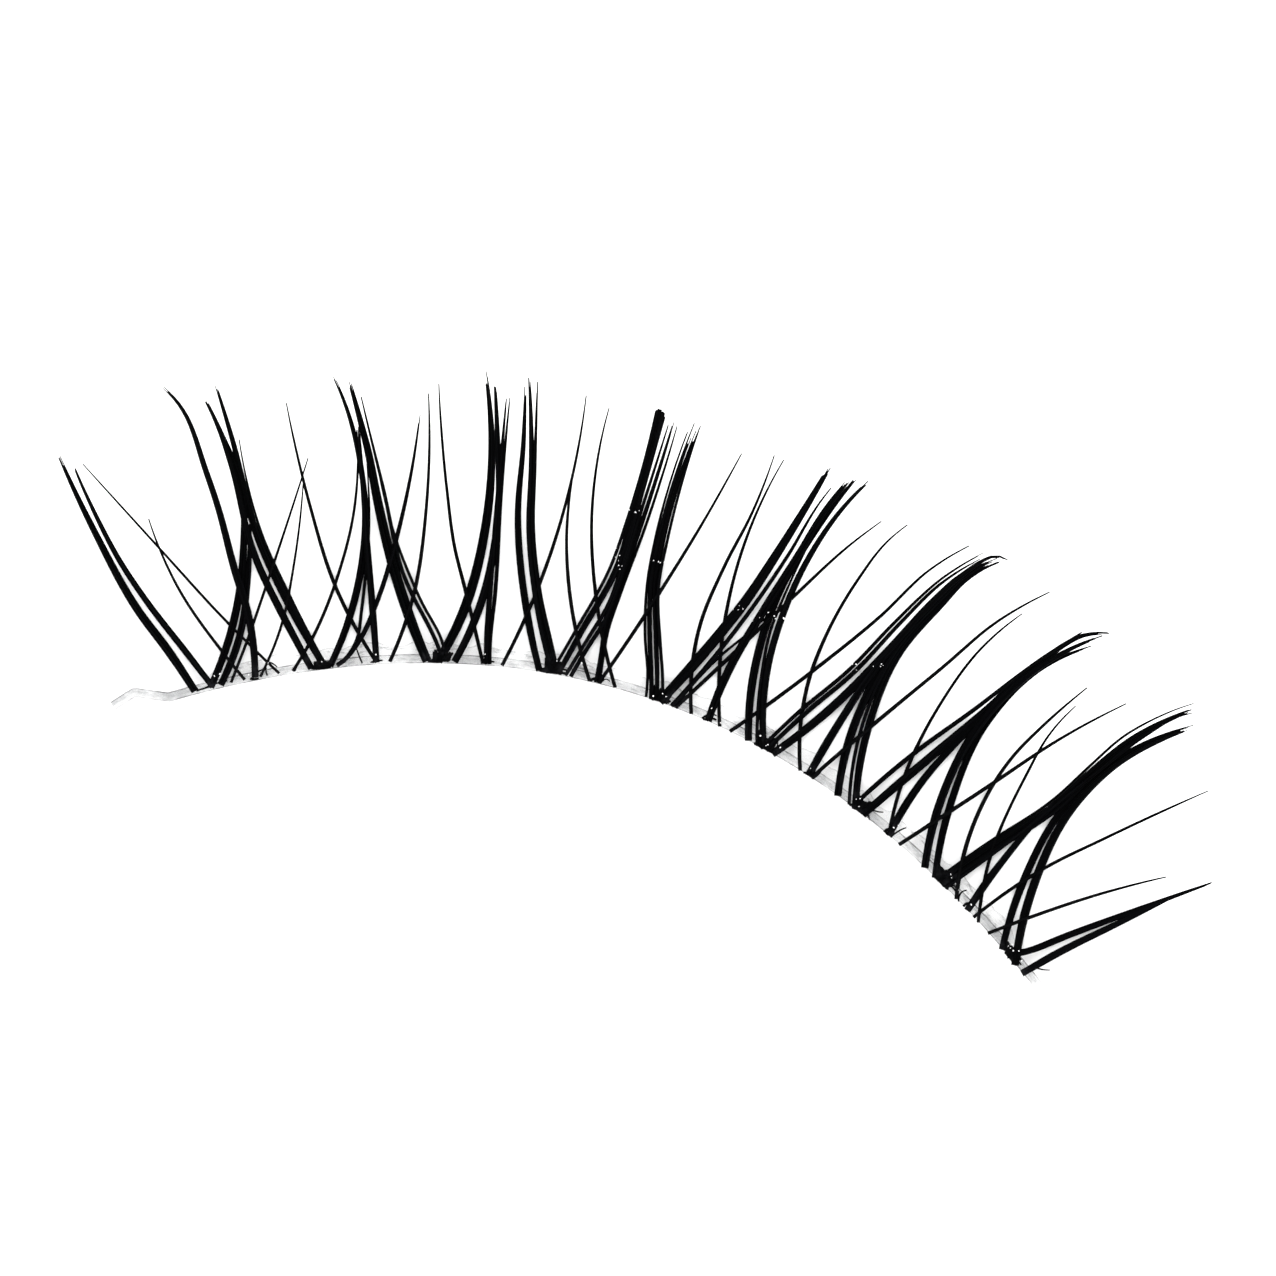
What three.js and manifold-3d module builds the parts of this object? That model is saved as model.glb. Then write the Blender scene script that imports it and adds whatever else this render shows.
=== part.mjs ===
// A strip of false eyelashes: spiky black locks and single hairs set along a clear band that is bent to the
// line of an upper eyelid. Millimetres. The origin is the middle of the band's underside. +X runs along the
// strip, +Y is the way the lashes point and +Z is up. The band and the locks' roots lie on the plane Z = 0,
// and the tips curl up from it.
import * as THREE from "three";
import Module from "manifold-3d";

const wasm = await Module();
wasm.setup();

// Band: a flat clear thread on a parabola, with a short free tail at its left end.
const BAND_HALF_CHORD = 15.4;
const BAND_SAG = 5.4;
const BAND_CREST_X = 0.2;
const BAND_WIDTH = 0.3;
const BAND_HEIGHT = 0.5;
const BAND_BEVEL = 0.1;
const BAND_STEPS = 36;
const BAND_SAMPLES = 200;
const TAIL_START_X = -14.2;
const TAIL_KNEE = new THREE.Vector2(-15.3, -4.9);
const TAIL_END = new THREE.Vector2(-15.82, -5.52);

// Locks and hairs lie flat at the root, then curl up, and taper to the tip.
const ROOT_GAP = 0.06;
const CURL_START = 2.8;
const CURL_RADIUS = 4.5;
const ROOT_SHARE = 0.75;
const FULLEST_AT = 0.22;
const HOOK_START = 0.8;

// A lock is a flattened bundle and a hair is a single thin strand. The hairs of one spike are lifted more
// than those of the next, so that they pass over them.
const LOCK = { thickness: 0.3, sides: 8, steps: 13 };
const HAIR = { thickness: 0.1, sides: 4, steps: 8 };
const HAIR_TIP = 0.5;
const HAIR_LIFTS = [0.17, 0.02];

// Facets that depart from each other by less than this are merged after strands are fused.
const FACET_TOLERANCE = 0.01;

// One entry for each spike, from left to right, with a row for each lock that runs into it and each single
// hair that crosses it. root is where the strand stands on the band along X, tipX and tipY place its tip,
// bow is how far its middle stands to the left of the straight line from root to tip, hook is how far its
// last stretch turns to the left of that line, width is its fullest width, and tip is the share of that
// width left at the tip. A hair has no hook, and all hairs have the same width and tip.
const SPIKES = [
  {
    locks: [{ root: -13.35, tipX: -19.75, tipY: 1.75, bow: 0.25, hook: 0, width: 0.62, tip: 0.1 }],
    hairs: [],
  },
  {
    locks: [
      { root: -12.8, tipX: -15.8, tipY: 4.95, bow: -1.1, hook: 0, width: 0.6, tip: 0.1 },
      { root: -11.75, tipX: -17.0, tipY: 4.85, bow: -0.58, hook: 0.25, width: 0.38, tip: 0.1 },
      { root: -9.95, tipX: -15.6, tipY: 5.25, bow: 0.5, hook: 0, width: 0.62, tip: 0.1 },
    ],
    hairs: [
      { root: -12.4, tipX: -12.15, tipY: 4.0, bow: 0 },
      { root: -12.0, tipX: -16.5, tipY: 0.6, bow: 0.28 },
      { root: -11.45, tipX: -12.1, tipY: 3.3, bow: -0.25 },
      { root: -11.0, tipX: -19.0, tipY: 1.65, bow: 0.1 },
      { root: -10.6, tipX: -10.85, tipY: 4.6, bow: -0.55 },
    ],
  },
  {
    locks: [
      { root: -9.4, tipX: -11.85, tipY: 6.75, bow: -0.95, hook: 0.25, width: 0.5, tip: 0.1 },
      { root: -9.05, tipX: -9.1, tipY: 6.5, bow: -0.42, hook: 0, width: 0.22, tip: 0.2 },
      { root: -8.05, tipX: -11.0, tipY: 5.5, bow: 0.05, hook: 0, width: 0.32, tip: 0.2 },
      { root: -6.42, tipX: -11.5, tipY: 6.8, bow: 0.28, hook: 0, width: 0.62, tip: 0.1 },
    ],
    hairs: [
      { root: -7.85, tipX: -13.3, tipY: 5.45, bow: 0.42 },
      { root: -7.7, tipX: -9.03, tipY: 7.1, bow: -0.45 },
    ],
  },
  {
    locks: [
      { root: -5.82, tipX: -7.35, tipY: 8.15, bow: -0.65, hook: 0, width: 0.64, tip: 0.25 },
      { root: -4.65, tipX: -6.6, tipY: 7.75, bow: 0.1, hook: 0, width: 0.44, tip: 0.2 },
    ],
    hairs: [{ root: -4.95, tipX: -8.8, tipY: 7.5, bow: 0.35 }],
  },
  {
    locks: [{ root: -2.88, tipX: -5.92, tipY: 8.45, bow: 0.37, hook: 0, width: 0.64, tip: 0.2 }],
    hairs: [{ root: -4.2, tipX: -4.17, tipY: 8.55, bow: -0.4 }],
  },
  {
    locks: [
      { root: -2.38, tipX: -1.8, tipY: 8.8, bow: -0.43, hook: 0, width: 0.42, tip: 0.6 },
      { root: -2.12, tipX: -1.12, tipY: 8.5, bow: -0.43, hook: 0, width: 0.26, tip: 0.2 },
      { root: -1.15, tipX: -1.72, tipY: 8.7, bow: 0.13, hook: 0, width: 0.44, tip: 0.5 },
    ],
    hairs: [
      { root: -1.45, tipX: -3.9, tipY: 6.6, bow: 0.5 },
      { root: -0.5, tipX: -3.35, tipY: 8.4, bow: 0.67 },
    ],
  },
  {
    locks: [{ root: 0.66, tipX: -0.52, tipY: 8.7, bow: 0.4, hook: 0, width: 0.64, tip: 0.3 }],
    hairs: [{ root: -0.8, tipX: 1.15, tipY: 8.25, bow: 0 }],
  },
  {
    locks: [
      { root: 1.28, tipX: 3.92, tipY: 8.5, bow: -0.3, hook: 0, width: 0.64, tip: 0.25 },
      { root: 2.7, tipX: 4.7, tipY: 8.4, bow: 0.27, hook: 0, width: 0.48, tip: 0.25 },
      { root: 4.3, tipX: 5.15, tipY: 8.5, bow: 0.88, hook: 0, width: 0.66, tip: 0.15 },
    ],
    hairs: [
      { root: 1.55, tipX: 6.05, tipY: 7.5, bow: 0 },
      { root: 2.1, tipX: 2.16, tipY: 8.5, bow: 0.53 },
      { root: 3.1, tipX: 2.5, tipY: 8.45, bow: 0.66 },
      { root: 3.45, tipX: 9.0, tipY: 7.58, bow: -0.1 },
    ],
  },
  {
    locks: [
      { root: 4.95, tipX: 9.3, tipY: 7.55, bow: -0.05, hook: -0.4, width: 0.66, tip: 0.1 },
      { root: 6.3, tipX: 8.6, tipY: 5.5, bow: 0.2, hook: 0, width: 0.32, tip: 0.2 },
      { root: 7.68, tipX: 9.78, tipY: 7.5, bow: 1.05, hook: -0.4, width: 0.6, tip: 0.1 },
    ],
    hairs: [
      { root: 6.0, tipX: 6.92, tipY: 7.65, bow: 0.98 },
      { root: 6.55, tipX: 11.9, tipY: 6.93, bow: 0.16 },
    ],
  },
  {
    locks: [
      { root: 8.25, tipX: 13.55, tipY: 6.2, bow: 0.22, hook: -0.3, width: 0.62, tip: 0.1 },
      { root: 9.35, tipX: 11.6, tipY: 3.5, bow: 0.28, hook: 0, width: 0.34, tip: 0.2 },
      { root: 10.95, tipX: 13.75, tipY: 5.95, bow: 1.3, hook: -0.2, width: 0.62, tip: 0.1 },
    ],
    hairs: [
      { root: 9.1, tipX: 11.28, tipY: 6.02, bow: 0.7 },
      { root: 9.75, tipX: 15.35, tipY: 4.25, bow: 0.06 },
    ],
  },
  {
    locks: [
      { root: 11.6, tipX: 17.3, tipY: 4.7, bow: 0.2, hook: 0, width: 0.6, tip: 0.15 },
      { root: 12.5, tipX: 14.1, tipY: 0.6, bow: 0.05, hook: 0, width: 0.36, tip: 0.2 },
      { root: 14.12, tipX: 17.55, tipY: 4.2, bow: 1.3, hook: 0, width: 0.62, tip: 0.1 },
    ],
    hairs: [
      { root: 12.05, tipX: 14.0, tipY: 4.35, bow: 0.88 },
      { root: 13.1, tipX: 18.7, tipY: 2.35, bow: 0.3 },
      { root: 12.85, tipX: 13.8, tipY: 3.7, bow: 0.52 },
      { root: 13.35, tipX: 18.5, tipY: -0.55, bow: 0.08 },
    ],
  },
  {
    locks: [{ root: 14.72, tipX: 19.8, tipY: -0.4, bow: 0.2, hook: 0, width: 0.62, tip: 0.1 }],
    hairs: [],
  },
];

const CLEAR_PLASTIC = { color: 0xe8ecee, roughness: 0.25, metalness: 0, transparent: true, opacity: 0.45 };
const BLACK_FIBRE = { color: 0x0a0b0c, roughness: 0.38, metalness: 0 };

// Plan point on the band's middle line at x.
function bandPoint(x) {
  return new THREE.Vector2(x, -BAND_SAG * ((x - BAND_CREST_X) / BAND_HALF_CHORD) ** 2);
}

// Plan points along the band's middle line, from the tail to the right end.
function bandLine(steps) {
  const points = [TAIL_END, TAIL_KNEE];
  for (let i = 0; i <= steps; i++) {
    points.push(bandPoint(THREE.MathUtils.lerp(TAIL_START_X, BAND_HALF_CHORD, i / steps)));
  }
  return points;
}

const BAND_LINE = bandLine(BAND_SAMPLES);

// Direction of a row of points at entry i, from its neighbours.
function directionAt(points, i) {
  const before = points[Math.max(i - 1, 0)];
  const after = points[Math.min(i + 1, points.length - 1)];
  return after.clone().sub(before).normalize();
}

// A closed solid through rings of points, each ring running the same way round the path.
function loft(rings) {
  const sides = rings[0].length;
  const last = (rings.length - 1) * sides;
  const index = [];
  for (let ring = 0; ring < last; ring += sides) {
    for (let k = 0; k < sides; k++) {
      const next = (k + 1) % sides;
      index.push(ring + k, ring + next, ring + sides + next);
      index.push(ring + k, ring + sides + next, ring + sides + k);
    }
  }
  for (let k = 1; k < sides - 1; k++) {
    index.push(0, k + 1, k);
    index.push(last, last + k, last + k + 1);
  }
  return new THREE.BufferGeometry().setFromPoints(rings.flat()).setIndex(index);
}

// A wall along the band's line, from an outline of [across, up] pairs.
function bandWall(outline) {
  const line = bandLine(BAND_STEPS);
  const rings = line.map((point, i) => {
    const along = directionAt(line, i);
    return outline.map(
      ([across, up]) => new THREE.Vector3(point.x - along.y * across, point.y + along.x * across, up),
    );
  });
  return loft(rings);
}

// The band: flat underneath, with its two top edges bevelled.
function bandGeometry() {
  const half = BAND_WIDTH / 2;
  const shoulder = BAND_HEIGHT - BAND_BEVEL;
  return bandWall([
    [half, 0],
    [half, shoulder],
    [half - BAND_BEVEL, BAND_HEIGHT],
    [BAND_BEVEL - half, BAND_HEIGHT],
    [-half, shoulder],
    [-half, 0],
  ]);
}

// The room that the band takes up with its clearance, taller than any root, so that roots are trimmed to it.
function bandRoom() {
  const half = BAND_WIDTH / 2 + ROOT_GAP;
  const top = 2 * BAND_HEIGHT;
  return bandWall([
    [half, -top],
    [half, top],
    [-half, top],
    [-half, -top],
  ]);
}

// Height of the curled sheet that the strands lie on, at a plan point: flat near the band, then rising.
function curlHeight(point) {
  const fromBand = Math.min(...BAND_LINE.map((place) => place.distanceTo(point)));
  return Math.max(0, fromBand - CURL_START) ** 2 / (2 * CURL_RADIUS);
}

// Share of its full width that a strand has at u, from 0 at the root to 1 at the tip.
function taper(u, tip) {
  if (u < FULLEST_AT) {
    return THREE.MathUtils.lerp(ROOT_SHARE, 1, Math.sin((u / FULLEST_AT) * (Math.PI / 2)));
  }
  const toTip = (u - FULLEST_AT) / (1 - FULLEST_AT);
  return THREE.MathUtils.lerp(1, tip, toTip ** 2);
}

// Plan points along the middle of a strand, from root to tip.
function strandLine({ root, tipX, tipY, bow, hook }, steps) {
  const start = bandPoint(root);
  const tip = new THREE.Vector2(tipX, tipY);
  const straight = tip.clone().sub(start).normalize();
  const left = new THREE.Vector2(-straight.y, straight.x);
  const middle = start.clone().lerp(tip, 0.5).addScaledVector(left, 2 * bow);
  const curve = new THREE.QuadraticBezierCurve(start, middle, tip);
  return curve.getPoints(steps).map((point, i) => {
    const turned = Math.max(0, (i / steps - HOOK_START) / (1 - HOOK_START));
    return point.addScaledVector(left, hook * turned ** 2);
  });
}

// One strand as a solid: flat-sided rounds that follow the curl, lifted off it, and thin towards the tip.
function strandSolid(row, { thickness, sides, steps }, lift) {
  const line = strandLine(row, steps);
  const shares = line.map((_, i) => taper(i / steps, row.tip));
  const path = line.map(
    (point, i) => new THREE.Vector3(point.x, point.y, curlHeight(point) + lift + (thickness / 2) * shares[i]),
  );
  const corner = Math.PI / sides;
  const rings = path.map((centre, i) => {
    const along = directionAt(path, i);
    const flat = directionAt(line, i);
    const side = new THREE.Vector3(flat.y, -flat.x, 0);
    const up = side.clone().cross(along);
    const reach = shares[i] / Math.cos(corner) / 2;
    return Array.from({ length: sides }, (_, k) => {
      const angle = (2 * k + 1) * corner;
      return centre
        .clone()
        .addScaledVector(side, -Math.cos(angle) * row.width * reach)
        .addScaledVector(up, Math.sin(angle) * thickness * reach);
    });
  });
  return solidOf(loft(rings));
}

// A closed geometry as a solid that can be joined and cut.
function solidOf(geometry) {
  return new wasm.Manifold(
    new wasm.Mesh({
      numProp: 3,
      vertProperties: new Float32Array(geometry.getAttribute("position").array),
      triVerts: new Uint32Array(geometry.index.array),
    }),
  );
}

// A solid as a geometry that three.js can draw.
function geometryOf(solid) {
  const { vertProperties, triVerts } = solid.getMesh();
  return new THREE.BufferGeometry()
    .setAttribute("position", new THREE.BufferAttribute(vertProperties, 3))
    .setIndex(new THREE.BufferAttribute(triVerts, 1));
}

// A spike: its locks and the hairs that cross them, fused, with the roots trimmed to stand against the band.
function spikeGeometry({ locks, hairs }, lift, room) {
  const bundles = locks.map((row) => strandSolid(row, LOCK, 0));
  const single = { hook: 0, width: HAIR.thickness, tip: HAIR_TIP };
  const strands = hairs.map((row) => strandSolid({ ...single, ...row }, HAIR, lift));
  const fused = [...bundles, ...strands].reduce((joined, strand) => joined.add(strand));
  return geometryOf(fused.subtract(room).simplify(FACET_TOLERANCE));
}

// A named piece with a finish of its own.
function piece(name, geometry, finish) {
  geometry.computeVertexNormals();
  const mesh = new THREE.Mesh(geometry, new THREE.MeshStandardMaterial(finish));
  mesh.name = name;
  return mesh;
}

const strip = new THREE.Group();
strip.name = "lash_strip";
strip.add(piece("band", bandGeometry(), CLEAR_PLASTIC));
const room = solidOf(bandRoom());
SPIKES.forEach((spike, i) => {
  const name = `spike_${String(i + 1).padStart(2, "0")}`;
  const lift = HAIR_LIFTS[i % HAIR_LIFTS.length];
  strip.add(piece(name, spikeGeometry(spike, lift, room), BLACK_FIBRE));
});

export default strip;
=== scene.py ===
"""Dresses a strip of false eyelashes: bundles of black fibre, fine single hairs, clear thread and dried glue.

Sizes in the tables and dataclass fields are in millimetres. Plan points are read along the strip, and up from
the straight line between the two ends of its band. Meshes are in metres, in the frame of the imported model.
"""

import logging
import math
import random
from abc import ABC, abstractmethod
from dataclasses import dataclass, field
from enum import Enum
from functools import partial
from typing import Any

import bpy
from mathutils import Matrix, Vector


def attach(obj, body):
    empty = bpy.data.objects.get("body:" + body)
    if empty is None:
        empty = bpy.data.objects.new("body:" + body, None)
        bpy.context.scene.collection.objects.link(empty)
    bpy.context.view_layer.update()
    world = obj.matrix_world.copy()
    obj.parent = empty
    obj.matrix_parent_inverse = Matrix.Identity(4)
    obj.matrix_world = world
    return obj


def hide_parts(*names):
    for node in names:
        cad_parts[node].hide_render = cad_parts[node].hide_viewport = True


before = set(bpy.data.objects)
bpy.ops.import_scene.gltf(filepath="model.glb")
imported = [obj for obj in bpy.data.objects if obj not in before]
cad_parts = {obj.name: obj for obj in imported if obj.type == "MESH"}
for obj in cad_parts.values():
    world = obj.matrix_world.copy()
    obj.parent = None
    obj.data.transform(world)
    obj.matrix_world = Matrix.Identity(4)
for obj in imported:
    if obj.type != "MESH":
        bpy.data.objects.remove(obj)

LOG = logging.getLogger("lash_strip")
MM = 0.001
BODY = "root"
FIBRE_SLOT = "black_fibre"
CLEAR_SLOT = "clear_band"
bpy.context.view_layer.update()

Plan = tuple[float, float]
Span = tuple[float, float]
Triple = tuple[float, float, float]
Colour = tuple[float, float, float, float]
Piece = bpy.types.Object
Socket = bpy.types.NodeSocket


class Book:
    """A node tree with short ways to add nodes and join them."""

    def __init__(self, tree: bpy.types.NodeTree) -> None:
        """Keeps the tree that nodes are added to."""
        self.tree = tree

    def add(self, kind: str, sockets: dict[str, Any] | None = None, **settings: Any) -> bpy.types.Node:
        """Adds a node, sets its options, and fills or joins its inputs.

        Args:
            kind: the node's type name.
            sockets: for each input's name, a value or an output socket to join to it.
            **settings: the node's own options.

        Returns:
            The new node.
        """
        node = self.tree.nodes.new(kind)
        for option, value in settings.items():
            setattr(node, option, value)
        for name, value in (sockets or {}).items():
            self.fill(node, name, value)
        return node

    def result(self, kind: str, sockets: dict[str, Any] | None = None, **settings: Any) -> Socket:
        """Adds a node, as add does, and gives the first of its outputs that is in use."""
        return next(s for s in self.add(kind, sockets, **settings).outputs if s.enabled)

    def fill(self, node: bpy.types.Node, name: str, value: Any) -> None:
        """Fills the input of a node that has this name and is in use."""
        self._join(next(s for s in node.inputs if s.name == name and s.enabled), value)

    def math(self, operation: str, *values: Any) -> Socket:
        """The result of a Math node that works on numbers or sockets, in order."""
        return self._chain("ShaderNodeMath", operation, values)

    def vector(self, operation: str, *values: Any) -> Socket:
        """The vector from a Vector Math node that works on vectors or sockets, in order."""
        return self._chain("ShaderNodeVectorMath", operation, values)

    def scaled(self, vector: Any, factor: Any) -> Socket:
        """A vector's socket scaled by a number or a socket."""
        return self.result("ShaderNodeVectorMath", {"Vector": vector, "Scale": factor}, operation="SCALE")

    def ranged(self, value: Any, low: Any, high: Any, to_low: Any = 0.0, to_high: Any = 1.0) -> Socket:
        """A value that goes smoothly from to_low to to_high as it passes from low to high."""
        ends = {"Value": value, "From Min": low, "From Max": high, "To Min": to_low, "To Max": to_high}
        return self.result("ShaderNodeMapRange", ends, interpolation_type="SMOOTHSTEP")

    def mixed(self, share: Any, first: Any, second: Any) -> Socket:
        """Two colours or their sockets mixed, by the share of the second."""
        return self.result("ShaderNodeMix", {"Factor": share, "A": first, "B": second}, data_type="RGBA")

    def joined(self, **parts: Any) -> Socket:
        """A vector made of the parts X, Y and Z that are named."""
        return self.result("ShaderNodeCombineXYZ", parts)

    def _chain(self, kind: str, operation: str, values: tuple[Any, ...]) -> Socket:
        """Adds a node that works on values and fills its inputs in order.

        Args:
            kind: the node's type name.
            operation: what the node does.
            values: numbers, vectors or sockets.

        Returns:
            The result's socket.
        """
        node = self.add(kind, operation=operation)
        for socket, value in zip(node.inputs, values):
            self._join(socket, value)
        return node.outputs[0]

    def _join(self, socket: Socket, value: Any) -> None:
        """Sets an input to a value, or joins an output socket to it.

        Args:
            socket: the input.
            value: a plain value or an output socket.
        """
        if isinstance(value, bpy.types.NodeSocket):
            self.tree.links.new(value, socket)
        else:
            socket.default_value = value


@dataclass(frozen=True)
class Band:
    """The clear thread's course in plan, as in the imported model: a parabola with a short bent tail."""

    half_chord: float = 15.4
    sag: float = 5.4
    crest_x: float = 0.2
    width: float = 0.3
    height: float = 0.5
    tail_start: float = -14.2
    tail: tuple[Plan, ...] = ((-15.82, -0.12), (-15.3, 0.5))

    def level(self, x: float) -> float:
        """Plan height of the thread's middle line above the line between its ends, at x."""
        return self.sag * (1 - ((x - self.crest_x) / self.half_chord) ** 2)

    def line(self, steps: int) -> list[Plan]:
        """Lists plan points along the thread from the tail's end.

        Args:
            steps: how many steps the parabola is cut into.

        Returns:
            The points, tail first.
        """
        run = self.half_chord - self.tail_start
        places = (self.tail_start + run * i / steps for i in range(steps + 1))
        return list(self.tail) + [(x, self.level(x)) for x in places]

    def place(self, point: Plan, rise: float) -> Vector:
        """A plan point at a height in millimetres, as a point of the model's frame in metres."""
        return Vector((point[0], point[1] - self.sag, rise)) * MM


@dataclass
class CurlSheet:
    """The curled sheet that all the lashes lie on: flat near the band, then rising."""

    band: Band
    start: float = 2.8
    radius: float = 4.5
    samples: int = 160
    _line: list[Plan] = field(init=False, repr=False)

    def __post_init__(self) -> None:
        """Samples the band once."""
        self._line = self.band.line(self.samples)

    def away(self, point: Plan) -> float:
        """Distance of a plan point from the band's middle line."""
        return min(math.dist(point, place) for place in self._line)

    def rise(self, point: Plan) -> float:
        """Height of the sheet over a plan point, by its distance from the band."""
        return max(0.0, self.away(point) - self.start) ** 2 / (2 * self.radius)


@dataclass(frozen=True)
class TipShape:
    """How a strand's fibres end: how far apart, how unevenly cut and how thin."""

    spread: float
    uneven: float
    thin: float


class TipCut(Enum):
    """The ends that strands have."""

    FINE = TipShape(spread=0.3, uneven=0.07, thin=0.3)
    CLAW = TipShape(spread=0.45, uneven=0.06, thin=0.36)
    FRAYED = TipShape(spread=1.0, uneven=0.12, thin=0.36)
    BLUNT = TipShape(spread=1.5, uneven=0.02, thin=0.85)
    HAIR = TipShape(spread=0.0, uneven=0.0, thin=0.42)
    STUB = TipShape(spread=0.8, uneven=0.2, thin=0.7)


@dataclass(frozen=True)
class Lash:
    """One strand: its foot's place along the band, the plan points it then passes, its width and its end."""

    root: float
    course: tuple[Plan, ...]
    width: float
    tip: TipCut

    def path(self, band: Band, reach: float, steps: int) -> list[Plan]:
        """Plan points on one smooth curve, from a foot that reaches past the thread's middle line."""
        return smooth_path([(self.root, band.level(self.root) - reach), *self.course], steps)


def smooth_path(knots: list[Plan], steps: int) -> list[Plan]:
    """Runs one smooth curve through a few points, turning at each as its neighbours ask.

    Args:
        knots: the points that the curve passes.
        steps: how many steps the curve is cut into.

    Returns:
        Points along the curve.
    """
    points = [Vector(knot) for knot in knots]
    spans = [(after - before).length for before, after in zip(points, points[1:])]
    slopes = [(after - before) / span for before, after, span in zip(points, points[1:], spans)]
    turns = [
        (slope * ahead + onward * behind) / (behind + ahead)
        for slope, onward, behind, ahead in zip(slopes, slopes[1:], spans, spans[1:])
    ]
    turns = [2 * slopes[0] - turns[0], *turns, 2 * slopes[-1] - turns[-1]]
    path = []
    for step in range(steps + 1):
        here = sum(spans) * step / steps
        leg = 0
        while leg < len(spans) - 1 and here > spans[leg]:
            here -= spans[leg]
            leg += 1
        u = min(1.0, here / spans[leg])
        ease = u * u * (3 - 2 * u)
        bend = turns[leg] * (u * (1 - u) ** 2) - turns[leg + 1] * (u * u * (1 - u))
        spot = points[leg].lerp(points[leg + 1], ease) + bend * spans[leg]
        path.append((spot.x, spot.y))
    return path


def strand(tip: TipCut, width: float, root: float, *course: Plan) -> Lash:
    """A strand with a cut of tip, by its width, its foot's place along the band and its plan points."""
    return Lash(root, course, width, tip)


# One maker of strands for each cut, in the order of TipCut.
fine, claw, frayed, blunt, hair, stub = (partial(strand, tip) for tip in TipCut)

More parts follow.
